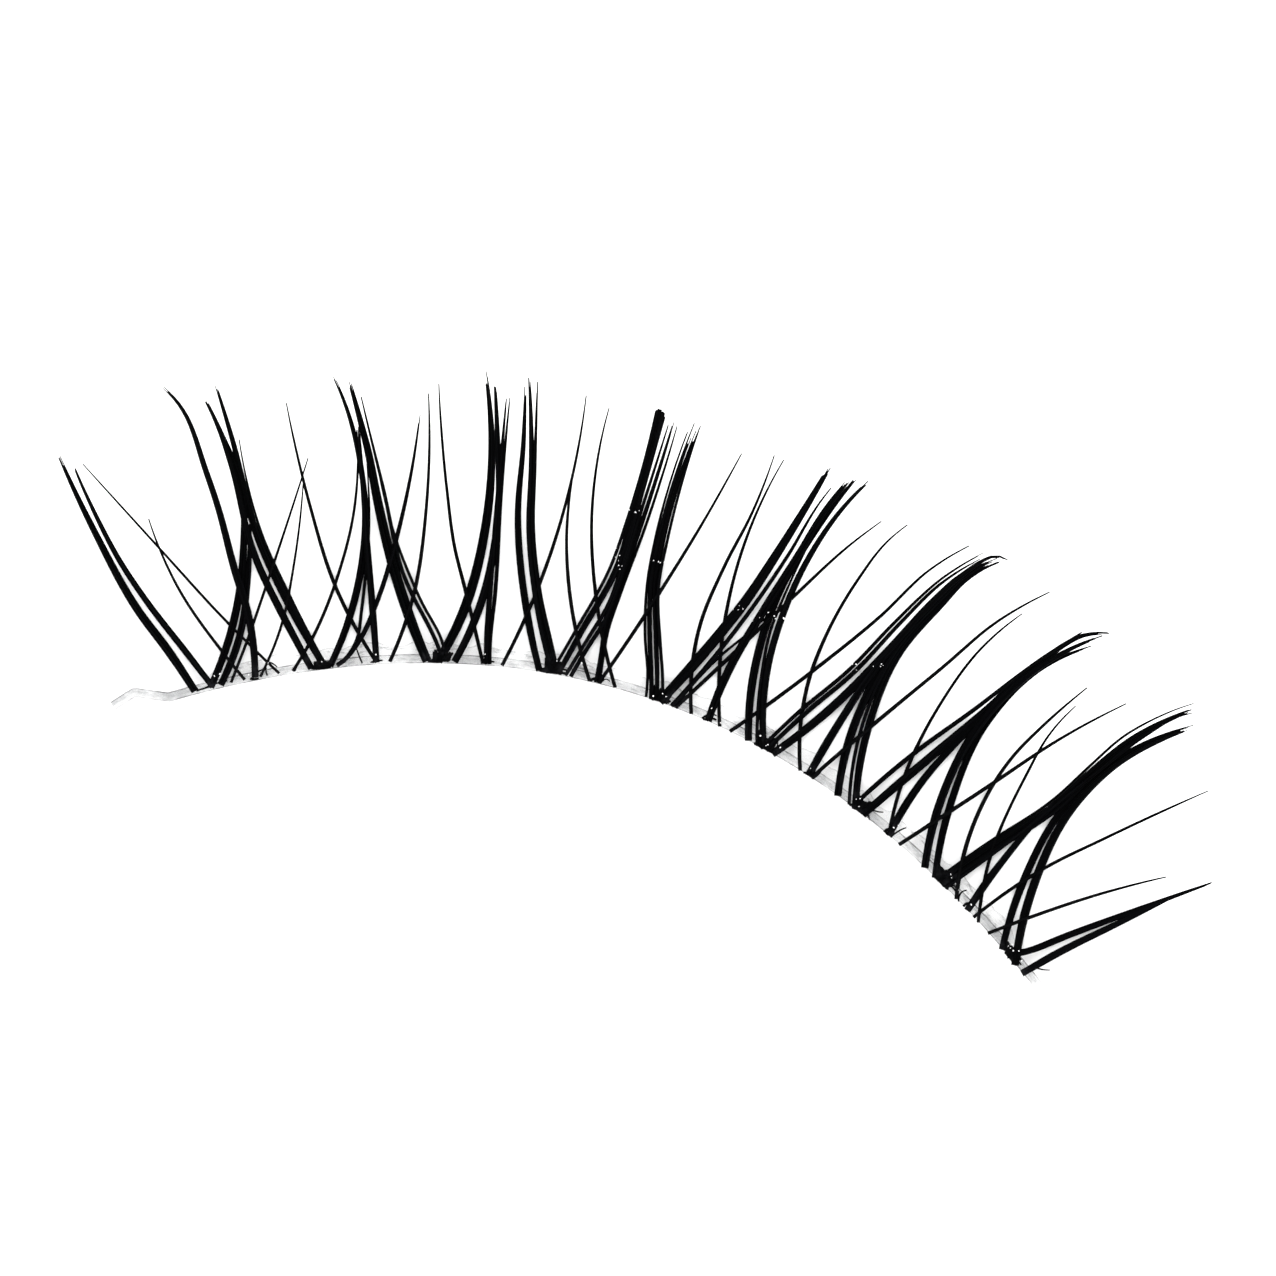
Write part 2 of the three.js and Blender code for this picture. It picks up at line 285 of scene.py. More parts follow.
# The strands of each spike, with the spikes from left to right. A row gives the strand's width, its foot's
# place along the band and the plan points that it passes on the way to its tip.
SPIKES: tuple[tuple[Lash, ...], ...] = (
    (
        fine(0.3, -13.42, (-14.68, 2.14), (-15.94, 3.05), (-18.03, 5.07), (-19.85, 7.13)),
        fine(0.24, -12.92, (-14.03, 2.2), (-16.04, 3.62), (-17.04, 4.45), (-18.03, 5.46), (-19.3, 6.95)),
    ),
    (
        fine(0.28, -12.98, (-12.9, 3.5), (-13.3, 6.0), (-14.0, 8.0), (-15.0, 9.3), (-15.8, 10.2)),
        fine(0.26, -12.7, (-12.6, 3.4), (-12.8, 4.7), (-13.4, 7.0)),
        fine(
            0.26,
            -11.7,
            (-12.53, 4.0),
            (-13.4, 5.28),
            (-14.44, 6.97),
            (-15.14, 7.97),
            (-16.65, 9.86),
            (-17.4, 10.26),
        ),
        fine(0.27, -10.05, (-11.4, 4.25), (-12.87, 5.85), (-14.49, 8.5), (-15.05, 9.3), (-15.85, 10.22)),
        fine(0.28, -9.65, (-11.54, 4.87), (-12.99, 6.5), (-14.64, 9.23), (-15.62, 10.74)),
        hair(0.1, -9.6, (-11.4, 4.95), (-12.9, 6.65), (-13.96, 8.35), (-14.43, 9.3)),
    ),
    (
        fine(0.26, -9.5, (-9.37, 5.0), (-9.93, 8.4), (-10.63, 10.0), (-11.42, 11.3), (-12.12, 12.15)),
        fine(0.1, -9.25, (-8.93, 4.3), (-9.05, 5.1), (-9.3, 6.4), (-9.62, 7.8), (-10.3, 9.8)),
        fine(0.16, -9.3, (-9.16, 3.45), (-8.82, 4.35), (-8.69, 5.4), (-8.69, 8.0), (-9.13, 11.9)),
        fine(0.24, -8.1, (-8.8, 5.5), (-9.6, 7.5), (-10.9, 10.9)),
        fine(0.36, -6.55, (-7.85, 5.9), (-9.82, 9.12), (-10.27, 10.0), (-10.86, 11.0), (-11.65, 12.25)),
        fine(0.14, -6.05, (-6.3, 4.75), (-8.15, 6.75), (-9.57, 9.2), (-10.54, 10.85), (-11.2, 12.0)),
        fine(0.11, -5.95, (-6.25, 4.98), (-7.3, 6.05), (-8.6, 7.62), (-10.12, 10.2)),
    ),
    (
        fine(0.33, -6.22, (-5.93, 6.0), (-6.05, 9.0), (-6.46, 11.0), (-7.5, 13.75)),
        fine(0.28, -5.7, (-5.45, 6.5), (-5.77, 9.5), (-6.6, 12.1), (-7.14, 13.62)),
        fine(0.18, -4.7, (-4.92, 5.45), (-5.28, 7.0), (-5.95, 10.0), (-6.62, 13.25)),
        fine(0.15, -4.59, (-4.79, 5.45), (-5.1, 7.0), (-5.83, 10.0), (-6.5, 13.2)),
    ),
    (
        fine(0.25, -3.0, (-3.98, 6.8), (-5.14, 9.6), (-5.68, 12.0), (-6.15, 13.75)),
        fine(0.25, -2.55, (-3.75, 7.2), (-4.65, 9.3), (-5.2, 11.3), (-6.12, 14.05)),
        fine(0.16, -2.4, (-2.93, 6.05), (-3.63, 7.25), (-4.55, 9.35), (-5.06, 11.2), (-5.82, 14.0)),
    ),
    (
        blunt(0.11, -2.62, (-2.28, 6.6), (-1.8, 9.0), (-1.74, 10.5), (-1.87, 14.18)),
        blunt(0.2, -2.4, (-2.1, 6.6), (-1.6, 9.0), (-1.6, 10.5), (-1.74, 14.22)),
        blunt(0.13, -2.15, (-1.79, 6.6), (-1.52, 7.7), (-1.46, 9.2), (-1.5, 10.5), (-1.6, 14.16)),
        fine(0.14, -1.98, (-1.63, 6.6), (-1.48, 7.1), (-1.42, 7.8), (-1.39, 11.0), (-1.37, 13.95)),
        fine(0.2, -1.13, (-1.21, 5.95), (-1.36, 7.0), (-1.37, 7.8), (-1.26, 10.5), (-1.24, 14.0)),
        fine(0.13, -1.02, (-1.15, 6.0), (-1.27, 6.9), (-1.24, 8.2), (-1.11, 10.5), (-1.09, 13.9)),
    ),
    (
        frayed(0.11, 0.54, (0.36, 6.02), (-0.02, 6.98), (-0.55, 9.0), (-0.67, 10.0), (-0.7, 14.0)),
        frayed(0.17, 0.72, (0.49, 6.02), (0.14, 6.98), (-0.42, 9.0), (-0.54, 10.0), (-0.55, 14.15)),
        frayed(0.17, 0.9, (0.68, 6.02), (0.35, 6.98), (-0.28, 9.0), (-0.41, 10.0), (-0.4, 14.2)),
        frayed(0.11, 1.1, (0.87, 6.02), (0.5, 6.98), (-0.13, 8.8), (-0.29, 10.2), (-0.36, 14.3)),
    ),
    (
        claw(0.37, 1.0, (2.24, 8.0), (2.63, 9.0), (3.22, 11.0), (3.48, 12.0), (3.98, 14.1)),
        fine(0.16, 1.4, (2.59, 8.0), (3.27, 10.0), (3.56, 11.0), (4.05, 13.0), (4.24, 13.5)),
        fine(0.11, 1.52, (2.3, 7.0), (3.2, 8.4), (3.8, 9.4)),
        claw(0.3, 2.68, (2.85, 7.0), (3.32, 9.0), (3.84, 11.0), (4.34, 13.0), (4.74, 13.97)),
        claw(0.29, 4.12, (3.62, 7.2), (3.68, 10.0), (4.17, 12.0), (4.88, 13.98)),
        fine(0.12, 4.42, (3.9, 7.0), (3.74, 8.6), (3.82, 9.6), (4.0, 11.0), (4.2, 12.0)),
        claw(0.26, 4.68, (4.03, 7.2), (3.97, 9.0), (4.2, 11.0), (4.8, 13.0), (5.36, 14.1)),
    ),
    (
        fine(0.15, 4.58, (5.43, 6.32), (6.54, 8.04), (7.5, 9.97), (8.52, 11.76), (9.55, 12.94)),
        fine(0.16, 4.75, (5.62, 6.3), (6.7, 7.98), (7.66, 9.97), (8.54, 11.6), (9.5, 12.72)),
        fine(0.3, 4.98, (6.3, 6.6), (7.55, 9.0), (8.47, 11.0), (9.05, 12.0), (10.1, 12.96), (10.4, 12.9)),
        fine(0.28, 6.3, (6.8, 6.5), (7.3, 8.2), (8.2, 10.2)),
        fine(0.29, 7.4, (7.22, 6.0), (7.7, 9.0), (8.55, 11.0), (9.12, 12.0), (10.05, 12.9)),
        fine(0.12, 7.83, (7.48, 6.4), (7.8, 9.0), (8.65, 11.0), (9.2, 12.0), (9.9, 12.75)),
        fine(0.26, 8.06, (7.69, 6.4), (7.92, 9.0), (8.79, 11.0), (9.26, 11.95), (10.2, 12.88)),
    ),
    (
        fine(0.17, 7.95, (9.29, 6.0), (10.74, 7.96), (12.48, 10.42), (13.3, 11.42)),
        fine(0.31, 8.35, (9.87, 6.1), (11.09, 8.0), (12.36, 10.17), (13.55, 11.44), (14.4, 11.67)),
        fine(0.28, 9.35, (9.9, 5.4), (10.7, 7.1), (11.7, 8.8)),
        fine(0.29, 10.77, (10.63, 5.0), (11.02, 7.4), (12.55, 10.2), (14.0, 11.53)),
        fine(0.27, 11.19, (10.97, 5.0), (11.27, 7.6), (12.58, 10.1), (13.75, 11.08)),
    ),
    (
        fine(
            0.11,
            11.25,
            (12.45, 3.99),
            (14.09, 6.0),
            (14.96, 7.54),
            (15.55, 8.55),
            (16.44, 9.54),
            (17.38, 10.3),
        ),
        fine(0.38, 11.4, (12.66, 3.91), (14.3, 5.92), (14.87, 6.96), (16.02, 8.75), (17.5, 10.16)),
        fine(0.12, 11.6, (13.57, 4.9), (14.95, 6.96), (16.3, 8.9), (17.1, 9.78), (17.6, 10.07)),
        fine(0.27, 12.5, (13.0, 3.3), (13.6, 4.8), (14.3, 6.2)),
        fine(0.26, 13.95, (13.94, 3.0), (14.55, 6.0), (15.8, 8.05), (17.6, 9.6)),
        fine(0.3, 14.5, (14.31, 3.0), (14.75, 5.9), (15.76, 7.8), (16.95, 9.02), (17.5, 9.46)),
    ),
    (
        fine(0.24, 14.15, (14.77, 1.1), (15.83, 1.94), (17.53, 3.25), (19.78, 4.98)),
        fine(0.25, 14.78, (16.2, 1.8), (17.2, 2.73), (18.8, 4.24)),
    ),
)

# The single hairs, from left to right.
FINE_HAIRS: tuple[Lash, ...] = (
    hair(0.095, -11.0, (-13.0, 3.5), (-16.0, 5.25), (-19.0, 7.05)),
    hair(0.095, -12.0, (-13.0, 2.62), (-15.0, 4.2), (-16.5, 6.0)),
    hair(0.095, -11.55, (-11.4, 4.0), (-11.6, 6.0), (-12.1, 8.7)),
    hair(0.095, -12.4, (-12.3, 3.4), (-12.25, 5.0), (-12.15, 9.4)),
    hair(0.13, -8.1, (-10.23, 5.85), (-11.53, 7.75), (-13.3, 10.85)),
    hair(0.12, -10.6, (-10.3, 4.0), (-10.13, 6.3), (-10.22, 8.0), (-10.9, 10.7)),
    hair(0.13, -7.7, (-7.6, 6.0), (-8.05, 9.0), (-9.03, 12.5)),
    hair(0.14, -4.8, (-6.1, 6.9), (-6.8, 8.05), (-7.56, 9.7), (-8.8, 12.9)),
    hair(0.14, -4.2, (-3.87, 7.2), (-3.77, 9.0), (-4.17, 13.95)),
    hair(0.13, -1.35, (-2.7, 7.5), (-3.4, 9.3), (-3.9, 12.0)),
    hair(0.14, -0.5, (-1.93, 7.8), (-2.86, 10.3), (-3.35, 13.8)),
    hair(0.14, -1.05, (-0.27, 7.8), (0.6, 11.1), (1.15, 13.65)),
    hair(0.14, 2.1, (1.52, 8.0), (1.7, 10.0), (2.05, 12.0), (2.17, 13.9)),
    hair(0.14, 3.1, (2.3, 8.0), (2.1, 10.3), (2.5, 13.85)),
    hair(0.14, 3.45, (5.44, 7.68), (7.0, 10.03), (8.07, 11.93), (9.0, 12.98)),
    hair(0.14, 1.55, (2.85, 7.5), (4.12, 9.76), (5.41, 11.97), (6.08, 12.9)),
    hair(0.14, 6.0, (5.4, 7.4), (5.52, 9.0), (5.97, 11.0), (6.5, 12.42), (6.92, 13.05)),
    hair(0.14, 6.4, (8.03, 6.93), (9.37, 8.98), (10.63, 10.97), (11.9, 12.33)),
    hair(0.14, 9.35, (9.27, 5.2), (9.72, 8.0), (10.4, 9.98), (11.3, 11.42)),
    hair(0.14, 9.75, (12.06, 5.92), (13.7, 7.95), (15.35, 9.65)),
    hair(0.14, 12.05, (11.87, 4.5), (12.45, 7.0), (12.95, 8.0), (14.0, 9.75)),
    hair(0.13, 12.95, (12.7, 3.5), (13.02, 6.5), (13.34, 8.0), (13.85, 9.1)),
    hair(0.13, 12.75, (14.43, 3.75), (16.05, 5.31), (18.7, 7.75)),
    hair(0.12, 13.35, (14.52, 2.16), (16.03, 3.26), (18.3, 4.7)),
)

# Where the knots stand along the band, and how full of short fibre the fork of each is.
KNOTS: dict[float, float] = {
    -13.1: 0.0, -9.75: 0.2, -6.15: 0.6, -2.6: 1.0, 1.0: 1.0, 4.7: 0.9, 8.2: 1.0, 11.45: 1.0, 14.3: 0.3
}

# Where the smaller locks between the knots stand.
MIDDLE_FEET: tuple[float, ...] = (-11.7, -8.1, -4.65, -1.15, 2.7, 6.3, 9.35, 12.5)

# Loose cut ends that stick out at the feet.
LOOSE_ENDS: tuple[Lash, ...] = (
    stub(0.06, 14.8, (15.1, 0.62), (15.45, 0.67), (15.76, 0.76)),
    stub(0.05, 8.4, (8.6, 3.93), (8.85, 3.96), (9.09, 4.03)),
    stub(0.06, -11.35, (-11.45, 2.72), (-11.3, 2.72), (-11.05, 2.6)),
    stub(0.07, -10.55, (-10.52, 2.95), (-10.48, 3.2), (-10.4, 3.35)),
)

# Plan places on the strands where small white flakes sit.
SPECKS: tuple[Plan, ...] = (
    (-1.6, 10.9), (-1.7, 9.4), (-1.5, 9.1), (-0.35, 9.6), (2.6, 8.9),
    (3.1, 8.7), (3.8, 9.0), (4.0, 8.9), (6.7, 8.3), (7.4, 8.45),
)


@dataclass(frozen=True)
class EffectGroup(ABC):
    """An effect that several finishes share: a shader node group that reads a place and a few numbers."""

    name: str
    inputs: tuple[str, ...]
    output: str

    def put_in(self, book: Book, values: dict[str, Any]) -> Socket:
        """Adds the group to a material with its inputs' values, and gives the effect's socket."""
        return book.result("ShaderNodeGroup", values, node_tree=self._tree())

    def _tree(self) -> bpy.types.NodeTree:
        """Builds the group, or finds it if it is built.

        Returns:
            The shader node group.
        """
        if self.name in bpy.data.node_groups:
            return bpy.data.node_groups[self.name]
        tree = bpy.data.node_groups.new(self.name, "ShaderNodeTree")
        tree.interface.new_socket("Place", in_out="INPUT", socket_type="NodeSocketVector")
        for name in self.inputs:
            tree.interface.new_socket(name, in_out="INPUT", socket_type="NodeSocketFloat")
        tree.interface.new_socket(self.output, in_out="OUTPUT", socket_type="NodeSocketFloat")
        book = Book(tree)
        effect = self._effect(book, book.add("NodeGroupInput").outputs)
        book.add("NodeGroupOutput", {self.output: effect})
        return tree

    @abstractmethod
    def _effect(self, book: Book, start: Any) -> Socket:
        """The effect's socket, from the sockets of the group's inputs by name."""


@dataclass(frozen=True)
class StreakGroup(EffectGroup):
    """Lengthwise streaks in drawn fibre, which the fibre finishes share for relief, roughness and a painted
    sheen in their colour.
    """

    name: str = "Fibre Streaks"
    inputs: tuple[str, ...] = ("Fineness",)
    output: str = "Streak"
    stretch: float = 0.05
    detail: float = 3.0
    roughness: float = 0.6
    dark: float = 0.3
    light: float = 0.7

    def _effect(self, book: Book, start: Any) -> Socket:
        """Draws a noise out along the fibre.

        Args:
            book: the group's tree.
            start: the sockets of its inputs.

        Returns:
            The streaks' socket, from 0 to 1.
        """
        grain = {
            "Vector": book.vector("MULTIPLY", start["Place"], (1.0, 1.0, self.stretch)),
            "Scale": start["Fineness"],
            "Detail": self.detail,
            "Roughness": self.roughness,
        }
        return book.ranged(book.result("ShaderNodeTexNoise", grain), self.dark, self.light)


@dataclass(frozen=True)
class GlueGroup(EffectGroup):
    """Patchy haze of dried clear glue, which fibre, thread, film and crumbs share."""

    name: str = "Dried Glue"
    inputs: tuple[str, ...] = ("Grain", "Cover")
    output: str = "Haze"
    cloud_detail: float = 4.0
    crumb_finer: float = 5.0
    crumb_detail: float = 2.0
    crumb_share: float = 0.5
    bare: float = 1.15
    soft: float = 0.3

    def _effect(self, book: Book, start: Any) -> Socket:
        """Lays fine crumbs over clouds and keeps the parts that the cover asks for.

        Args:
            book: the group's tree.
            start: the sockets of its inputs.

        Returns:
            The haze's socket, from 0 to 1.
        """
        finer = book.math("MULTIPLY", start["Grain"], self.crumb_finer)
        clouds, crumbs = (
            book.result("ShaderNodeTexNoise", {"Vector": start["Place"], "Scale": scale, "Detail": detail})
            for scale, detail in ((start["Grain"], self.cloud_detail), (finer, self.crumb_detail))
        )
        both = book.math("MULTIPLY_ADD", crumbs, self.crumb_share, clouds)
        low = book.math("SUBTRACT", self.bare, start["Cover"])
        return book.ranged(both, low, book.math("ADD", low, self.soft))


@dataclass(frozen=True)
class Finish(ABC):
    """A finish that is built once, by its name, as a material with one Principled shader."""

    name: str

    def material(self) -> bpy.types.Material:
        """Builds the material, or finds it if it is built.

        Returns:
            The material.
        """
        if self.name in bpy.data.materials:
            return bpy.data.materials[self.name]
        made = bpy.data.materials.new(self.name)
        made.use_nodes = True
        book = Book(made.node_tree)
        shader = made.node_tree.nodes["Principled BSDF"]
        for name, value in self._looks(book).items():
            book.fill(shader, name, value)
        return made

    @abstractmethod
    def _looks(self, book: Book) -> dict[str, Any]:
        """The value or socket for each of the shader's inputs that the finish sets."""

    def _carried(self, book: Book, name: str, output: str = "Fac") -> Socket:
        """An attribute that the mesh carries for its finish."""
        return book.add("ShaderNodeAttribute", attribute_name=name).outputs[output]

    def _bumped(self, book: Book, height: Socket, strength: float, depth: float) -> Socket:
        """A normal that follows a fine relief of a depth."""
        return book.result("ShaderNodeBump", {"Height": height, "Strength": strength, "Distance": depth * MM})


@dataclass(frozen=True)
class FibreFinish(Finish):
    """Black drawn fibre with a soft sheen, lighter streaks of painted sheen along it and a little glue haze
    at its foot.
    """

    deep: Colour
    painted_sheen: Colour
    dull: Colour = (0.007, 0.007, 0.008, 1.0)
    least_painted_sheen: float = 0.35
    sheen: float = 0.0065
    rough: float = 0.32
    streak_rough: float = 0.2
    haze_rough: float = 0.25
    fineness: float = 2.2
    apart: float = 400.0
    haze_reach: float = 0.9
    haze_grain: float = 2600.0
    haze_cover: float = 0.45
    relief: float = 0.35
    relief_depth: float = 0.003

    def _looks(self, book: Book) -> dict[str, Any]:
        """Draws streaks of painted sheen that differ from fibre to fibre, and dulls the foot.

        Args:
            book: the material's tree.

        Returns:
            The shader's inputs by name.
        """
        length = book.math("DIVIDE", self._carried(book, "along"), MM)
        shade = self._carried(book, "fibre_shade")
        run = book.joined(Z=book.math("ADD", length, book.math("MULTIPLY", shade, self.apart)))
        place = book.vector("ADD", self._carried(book, "ring", "Vector"), run)
        streak = StreakGroup().put_in(book, {"Place": place, "Fineness": self.fineness})
        spot = book.add("ShaderNodeTexCoord").outputs["Object"]
        glue = GlueGroup().put_in(book, {"Place": spot, "Grain": self.haze_grain, "Cover": self.haze_cover})
        haze = book.math("MULTIPLY", glue, book.ranged(length, 0.0, self.haze_reach, 1.0, 0.0))
        # Painted sheen: along the streaks the colour turns from deep black towards a lighter black, more on
        # some fibres than on others.
        painted_sheen_share = book.math("MULTIPLY", streak, book.ranged(shade, 0.0, 1.0, self.least_painted_sheen, 1.0))
        rough = book.math("MULTIPLY_ADD", streak, self.streak_rough, self.rough)
        return {
            "Base Color": book.mixed(haze, book.mixed(painted_sheen_share, self.deep, self.painted_sheen), self.dull),
            "Roughness": book.math("MULTIPLY_ADD", haze, self.haze_rough, rough),
            "Specular IOR Level": self.sheen,
            "Normal": self._bumped(book, streak, self.relief, self.relief_depth),
        }


@dataclass(frozen=True)
class ClearFinish(Finish):
    """Clear plastic or dried glue that turns milky in patches, with painted dark shade along its sides."""

    clear: Colour
    milky: Colour
    thin: float
    thick: float
    grain: float
    cover: float
    rough: float = 0.24
    haze_rough: float = 0.35
    painted_rim_shade: Colour = (0.05, 0.05, 0.055, 1.0)
    rim_shade_cover: float = 0.74
    rim_shade_least: float = 0.35
    rim_shade_span: Span = (0.55, 0.9)
    refraction: float = 1.47
    relief: float = 0.4
    relief_depth: float = 0.01

    def _looks(self, book: Book) -> dict[str, Any]:
        """Makes the body thicker where the glue is milky, and paints dark shade along its sides.

        Args:
            book: the material's tree.

        Returns:
            The shader's inputs by name.
        """
        flow = self._carried(book, "flow", "Vector")
        haze = GlueGroup().put_in(book, {"Place": flow, "Grain": self.grain, "Cover": self.cover})
        # Painted shade: the sides turn dark and more opaque, standing in for the dark line that light bent
        # through clear plastic shows there.
        painted_rim_shade = book.ranged(self._carried(book, "rim_shade_mask"), *self.rim_shade_span)
        least = self.rim_shade_least * self.rim_shade_cover
        rim_shade_alpha = book.math("MULTIPLY", painted_rim_shade, book.math("MULTIPLY_ADD", haze, self.rim_shade_cover - least, least))
        body = book.math("MULTIPLY_ADD", haze, self.thick - self.thin, self.thin)
        return {
            "Base Color": book.mixed(painted_rim_shade, book.mixed(haze, self.clear, self.milky), self.painted_rim_shade),
            "Alpha": book.math("MAXIMUM", body, rim_shade_alpha),
            "Roughness": book.math("MULTIPLY_ADD", haze, self.haze_rough, self.rough),
            "IOR": self.refraction,
            "Normal": self._bumped(book, haze, self.relief, self.relief_depth),
        }


@dataclass(frozen=True)
class FloorFinish(Finish):
    """Plain matt white for the surface that the strip lies on."""

    name: str = "white_sheet"
    white: Colour = (0.86, 0.86, 0.86, 1.0)
    rough: float = 0.85
    sheen: float = 0.1

    def _looks(self, book: Book) -> dict[str, Any]:
        """The shader's inputs by name."""
        return {"Base Color": self.white, "Roughness": self.rough, "Specular IOR Level": self.sheen}


# Each fibre finish's lighter colour is painted sheen along its streaks.
LASH_BLACK = FibreFinish("lash_black", deep=(0.0004, 0.0004, 0.0005, 1.0), painted_sheen=(0.0018, 0.0019, 0.0023, 1.0))
HAIR_BLACK = FibreFinish(
    "hair_black",
    deep=(0.0006, 0.0006, 0.0007, 1.0),
    painted_sheen=(0.0023, 0.0023, 0.0025, 1.0),
    rough=0.36,
    fineness=3.0,
)
CLEAR_THREAD = ClearFinish(
    "clear_thread",
    clear=(0.2, 0.205, 0.21, 1.0),
    milky=(0.26, 0.265, 0.27, 1.0),
    thin=0.13,
    thick=0.41,
    grain=2400.0,
    cover=0.5,
)
# Dried glue whose grey is in part painted shade for the shadows between the feet, with painted dark shade
# along its far side.
GLUE_FILM_AND_SHADE = ClearFinish(
    "glue_film_and_shade",
    clear=(0.12, 0.125, 0.13, 1.0),
    milky=(0.16, 0.165, 0.17, 1.0),
    thin=0.03,
    thick=0.56,
    grain=2200.0,
    cover=0.36,
    rough=0.3,
    rim_shade_cover=0.35,
)
# Small white flakes on the strands and round the feet.
WHITE_FLECK = ClearFinish(
    "white_fleck",
    clear=(0.8, 0.81, 0.82, 1.0),
    milky=(0.95, 0.95, 0.95, 1.0),
    thin=0.75,
    thick=1.0,
    grain=6000.0,
    cover=0.6,
)


class GeometryTree:
    """A Geometry Nodes tree with named inputs, run once on an object to leave a plain mesh."""

    FLOW_DRAWN = 0.3

    def __init__(self, name: str, numbers: tuple[str, ...], counts: tuple[str, ...] = ()) -> None:
        """Starts a tree with its inputs.

        Args:
            name: the tree's name.
            numbers: the names of its inputs for sizes and shares.
            counts: the names of its inputs for whole numbers.
        """
        self.tree = bpy.data.node_groups.new(name, "GeometryNodeTree")
        self.book = Book(self.tree)
        kinds = {"Geometry": "Geometry", "Material": "Material"}
        kinds |= dict.fromkeys(numbers, "Float") | dict.fromkeys(counts, "Int")
        for socket, kind in kinds.items():
            self.tree.interface.new_socket(socket, in_out="INPUT", socket_type=f"NodeSocket{kind}")
        self.tree.interface.new_socket("Geometry", in_out="OUTPUT", socket_type="NodeSocketGeometry")
        self.start = self.book.add("NodeGroupInput").outputs

    def course(self) -> Socket:
        """The guides as curves, each cut evenly into the number of points in Steps."""
        line = self.book.result("GeometryNodeMeshToCurve", {"Mesh": self.start["Geometry"]})
        return self.book.result("GeometryNodeResampleCurve", {"Curve": line, "Count": self.start["Steps"]})

    def attribute(self, name: str, kind: str = "FLOAT") -> Socket:
        """A named attribute of the geometry, by its data type."""
        return self.book.result("GeometryNodeInputNamedAttribute", {"Name": name}, data_type=kind)

    def store(
        self, geometry: Any, name: str, value: Any, kind: str = "FLOAT", domain: str = "POINT"
    ) -> Socket:
        """The geometry with a value stored on it as a named attribute, by its data type and domain."""
        sockets = {"Geometry": geometry, "Name": name, "Value": value}
        return self.book.result("GeometryNodeStoreNamedAttribute", sockets, data_type=kind, domain=domain)

    def moved(self, geometry: Any, **places: Any) -> Socket:
        """The geometry with its points moved by an Offset or to a Position."""
        return self.book.result("GeometryNodeSetPosition", {"Geometry": geometry, **places})

    def flow(self, geometry: Any, along: Any, across: Any) -> Socket:
        """The geometry with the place that clear finishes read: lengths along and across the thread."""
        place = self.book.joined(X=self.book.math("MULTIPLY", along, self.FLOW_DRAWN), Y=across)
        return self.store(geometry, "flow", place, "FLOAT_VECTOR")

    def close(self, geometry: Any) -> None:
        """Ends the tree in smooth, realised, finished geometry.

        Args:
            geometry: the geometry's socket.
        """
        smooth = self.book.result("GeometryNodeSetShadeSmooth", {"Geometry": geometry})
        real = self.book.result("GeometryNodeRealizeInstances", {"Geometry": smooth})
        dress = {"Geometry": real, "Material": self.start["Material"]}
        self.book.add("NodeGroupOutput", {"Geometry": self.book.result("GeometryNodeSetMaterial", dress)})

    def run(self, piece: Piece, finish: Finish, values: dict[str, Any]) -> Piece:
        """Runs the tree on an object and keeps the result as its plain mesh.

        Args:
            piece: the object whose mesh guides the tree.
            finish: the finish for the tree's Material.
            values: the tree's other inputs by name.

        Returns:
            The same object, with the grown mesh and no modifier.
        """
        values = {"Material": finish.material(), **values}
        modifier = piece.modifiers.new(self.tree.name, "NODES")
        modifier.node_group = self.tree
        for item in self.tree.interface.items_tree:
            if item.in_out == "INPUT" and item.name in values:
                modifier[item.identifier] = values[item.name]
        graph = bpy.context.evaluated_depsgraph_get()
        grown = bpy.data.meshes.new_from_object(
            piece.evaluated_get(graph), preserve_all_data_layers=True, depsgraph=graph
        )
        piece.modifiers.clear()
        guide, piece.data = piece.data, grown
        bpy.data.meshes.remove(guide)
        grown.name = piece.name
        return piece


def guide_object(name: str, paths: list[list[Vector]]) -> Piece:
    """Makes an object of bare edge chains for a tree to follow.

    Args:
        name: the object's name.
        paths: a list of points for each chain, in metres.

    Returns:
        The new object, in the scene.
    """
    points: list[Vector] = []
    edges: list[tuple[int, int]] = []
    for path in paths:
        first = len(points)
        points.extend(path)
        edges.extend((first + i, first + i + 1) for i in range(len(path) - 1))
    mesh = bpy.data.meshes.new(name)
    mesh.from_pydata(points, edges, [])
    piece = bpy.data.objects.new(name, mesh)
    bpy.context.scene.collection.objects.link(piece)
    return piece


def settle(piece: Piece, slot: str, *nodes: str) -> Piece:
    """Makes a finished piece ride on the strip, in place of what it stands for, and reports it.

    Args:
        piece: the finished piece.
        slot: the material slot that it would take its finish from; not used.
        *nodes: the solids that it stands for.

    Returns:
        The same piece.
    """
    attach(piece, BODY)
    if nodes:
        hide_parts(*nodes)
    triangles = sum(len(face.vertices) - 2 for face in piece.data.polygons)
    LOG.info("%s: %d triangles, stands for %s", piece.name, triangles, ", ".join(nodes) or "nothing")
    return piece


